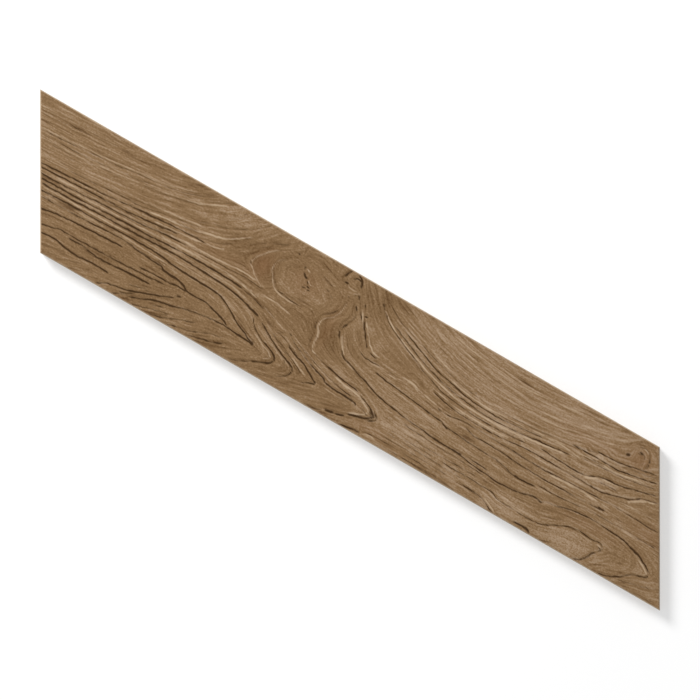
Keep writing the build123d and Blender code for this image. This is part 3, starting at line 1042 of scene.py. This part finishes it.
# Between which values lips, pores and dark lines rise from nothing to their strongest.
LIP_HIGHLIGHT_EDGE = (0.12, 0.78)
PORE_EDGE = (-1.3, -2.6)
INK_EDGE = (0.14, 0.76)

# Sizes of the print's noise in millimetres. Threads lie so many to a growth ring.
THREAD_LENGTH = 7.0
THREADS_PER_RING = 11.0
CLOUD_SIZE = (30.0, 14.0)
GRIT_SIZE = (1.1, 0.8)


def printed_face():
    """Oak in matt glaze: streaks along the grain, pores, dark embossed lines, and a painted highlight on
    their lips.
    """
    s = Shader("oak_print", 0.6)
    s.surface.inputs["Specular IOR Level"].default_value = 0.14
    along, across, _ = s.tile_places()
    ink, hair, calm = s.field("ink"), s.field("hair"), s.field("calm")
    thread = s.noise(s.stretched(along, THREAD_LENGTH, s.field("ring"), 1 / THREADS_PER_RING, 9.0))
    cloud = s.noise(s.stretched(along, CLOUD_SIZE[0], across, CLOUD_SIZE[1], 6.0), 3.0)
    grit = s.noise(s.stretched(along, GRIT_SIZE[0], across, GRIT_SIZE[1], 2.0))

    value = s.add(0.5, s.field("tone"), TONE_WEIGHT)
    value = s.add(value, thread, THREAD_WEIGHT, middle=0.5)
    value = s.add(value, cloud, CLOUD_WEIGHT, middle=0.5)
    value = s.add(value, s.field("rows"), ROW_WEIGHT)
    value = s.add(value, grit, s.add(GRIT_WEIGHT, calm, CALM_GRIT), middle=0.5)
    streaks = s.times(hair, HAIR_WEIGHT)
    streaks = s.add(streaks, s.field("fibre"), FIBRE_WEIGHT)
    streaks = s.add(streaks, s.field("band"), BAND_WEIGHT)
    value = s.add(value, streaks, s.add(1.0, calm, CALM_STREAKS))
    brown = s.node("ValToRGB", {"Fac": value})
    shades = brown.color_ramp.elements
    shades[0].color = colour(*OAK_DARK)
    shades[1].color = colour(*OAK_PALE)
    shades.new(0.5).color = colour(*OAK_MIDDLE)
    base = s.mix(s.times(s.field("warmth"), RED_COVER), brown.outputs["Color"], colour(*OAK_RED))

    # Painted highlight: the lips of the embossing are lightened as if lit.
    lip_highlight = s.spread(s.add(s.field("pale"), hair, 0.08), *LIP_HIGHLIGHT_EDGE)
    base = s.mix(s.times(lip_highlight, LIP_HIGHLIGHT_COVER), base, colour(*LIP_HIGHLIGHT))

    # Pores open in the darkest hairs, more so beside a dark thread.
    pores = s.spread(s.add(hair, thread, -2.0, middle=0.5), *PORE_EDGE)
    base = s.mix(s.times(pores, PORE_COVER), base, colour(*PORE))

    # Hairs and grit break the edges of the dark lines.
    ragged = s.times(ink, s.add(1.0, hair, -0.20))
    dark = s.spread(s.add(ragged, grit, 0.45, middle=0.5), *INK_EDGE)
    base = s.mix(s.times(dark, INK_COVER), base, colour(*INK))
    s.connect(base, "Base Color")

    matt = s.add(0.62, thread, 0.20)
    s.connect(s.add(matt, dark, 0.15), "Roughness")
    s.bump(s.add(thread, pores, -0.7), strength=0.5, depth=0.08)
    return s.material


# The colours of the fired body: the darker and paler grains of its sides, the kiln wash on the
# lands of the back, and the painted shade on the floors of its grooves.
BODY_DARK = (158, 136, 111)
BODY_PALE = (174, 153, 127)
KILN_WASH = (214, 205, 190)
GROOVE_SHADE = (128, 106, 82)

# Noise swings in a metre, for its grains and its clouds.
GRAIN_SCALE = 2600.0
CLOUD_SCALE = 60.0


def fired_body():
    """The pale body of the sides and back: fine grains, and white kiln wash on the lands."""
    s = Shader("fired_body", 0.8)
    where = s.object_place()
    along, across, up = s.tile_places()
    grain = s.noise(where, 2.0, GRAIN_SCALE)
    cloud = s.noise(where, 3.0, CLOUD_SCALE)
    speckle = s.add(cloud, grain, 0.7, middle=0.5)
    base = s.mix(s.spread(speckle, 0.3, 0.7), colour(*BODY_DARK), colour(*BODY_PALE))

    # The wash lies on what is lower than the grooves, in soft patches.
    low = s.spread(up, 0.05, 0.25, 1.0, 0.0)
    patchy = s.spread(s.noise(s.stretched(along, 14.0, across, 5.0), 4.0), 0.38, 0.62)
    base = s.mix(s.times(low, s.add(0.35, patchy, 0.45)), base, colour(*KILN_WASH))

    # Painted shade: the grooves' floors darkened, at their own height.
    groove_shade = s.times(s.spread(up, 0.35, 0.65), s.spread(up, 0.75, 0.71))
    base = s.mix(s.times(groove_shade, 0.35), base, colour(*GROOVE_SHADE))
    s.connect(base, "Base Color")
    s.bump(grain, strength=0.5, depth=0.06)
    return s.material


def add_to_scene(name, data):
    """A new object of the scene that shows this mesh, lamp or camera."""
    made = bpy.data.objects.new(name, data)
    bpy.context.scene.collection.objects.link(made)
    return made


def make_tile():
    """The tile, which stands for the frame's one node and rides on its one body."""
    mesh = tile_mesh(face_figure())
    mesh.materials.append(printed_face())
    mesh.materials.append(fired_body())
    tile = add_to_scene("wood_look_tile", mesh)
    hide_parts("tile")
    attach(tile, "root")


# The floor, in metres: half its width, and the distances from the tile between which it turns from
# a lit floor that takes a shadow into the picture's plain white.
WHITE = (1, 1, 1, 1)
FLOOR_REACH = 4.0
NEAR = 0.4
FAR = 1.6
NEAR_WHITE = 0.45


def make_floor():
    """A plain white floor that keeps the tile's shadow."""
    mesh = bpy.data.meshes.new("floor")
    turns = ((-1, -1), (1, -1), (1, 1), (-1, 1))
    corners = [(x * FLOOR_REACH, y * FLOOR_REACH, 0) for x, y in turns]
    mesh.from_pydata(corners, [], [(0, 1, 2, 3)])
    s = Shader("white_floor", 1.0)
    s.surface.inputs["Base Color"].default_value = WHITE
    s.surface.inputs["Specular IOR Level"].default_value = 0.0
    seen = s.node("LightPath").outputs["Is Camera Ray"]
    away = s.node("VectorMath", {0: s.object_place()}, operation="LENGTH").outputs["Value"]
    share = s.times(seen, s.spread(away, NEAR, FAR, NEAR_WHITE, 1.0))
    white = s.node("Emission", {"Color": WHITE, "Strength": 1.0}).outputs[0]
    mixed = s.node("MixShader", {0: share, 1: s.surface.outputs[0], 2: white}).outputs[0]
    s.tree.links.new(mixed, s.tree.nodes["Material Output"].inputs["Surface"])
    mesh.materials.append(s.material)
    floor = add_to_scene("floor", mesh)


# The sky's strength where it lights the tile, and where the camera sees it. The lamp's place, its
# width and its power are in metres and watts.
SKY_LIGHT = 0.5
SKY_SEEN = 1.0
LAMP_PLACE = (-1.9, 2.2, 2.0)
LAMP_WIDTH = 1.3
LAMP_POWER = 130.0


def make_sky():
    """A pale sky all round, which the camera sees as white."""
    world = bpy.data.worlds.new("studio")
    world.use_nodes = True
    nodes, links = world.node_tree.nodes, world.node_tree.links
    sky, seen = nodes["Background"], nodes.new("ShaderNodeBackground")
    for background, strength in ((sky, SKY_LIGHT), (seen, SKY_SEEN)):
        background.inputs["Color"].default_value = WHITE
        background.inputs["Strength"].default_value = strength
    pick = nodes.new("ShaderNodeMixShader")
    links.new(nodes.new("ShaderNodeLightPath").outputs["Is Camera Ray"], pick.inputs[0])
    links.new(sky.outputs[0], pick.inputs[1])
    links.new(seen.outputs[0], pick.inputs[2])
    links.new(pick.outputs[0], nodes["World Output"].inputs["Surface"])
    bpy.context.scene.world = world


def make_lamp():
    """A soft lamp from above left, aimed at the tile, that shows the embossing."""
    lamp = bpy.data.lights.new("key", "AREA")
    lamp.shape, lamp.size, lamp.energy = "DISK", LAMP_WIDTH, LAMP_POWER
    made = add_to_scene("key", lamp)
    made.location = LAMP_PLACE
    made.rotation_euler = (-Vector(LAMP_PLACE)).to_track_quat("-Z", "Y").to_euler()


# The camera looks straight down, as the photograph does, and the tile spans the picture with the
# photograph's own margin, in pixels, left free at each side. Its lens and sensor are in millimetres.
PICTURE_PX = 700
SIDE_MARGIN_PX = 40
LENS = 135
SENSOR_WIDTH = 36


def make_camera():
    camera = bpy.data.cameras.new("camera")
    camera.lens, camera.sensor_width = LENS, SENSOR_WIDTH
    view_width = (cad_high.x - cad_low.x) * PICTURE_PX / (PICTURE_PX - 2 * SIDE_MARGIN_PX)
    made = add_to_scene("camera", camera)
    made.location = (0, 0, cad_high.z + view_width * LENS / SENSOR_WIDTH)
    bpy.context.scene.camera = made


make_tile()
make_floor()
make_sky()
make_lamp()
make_camera()
bpy.context.scene.view_settings.view_transform = "Standard"
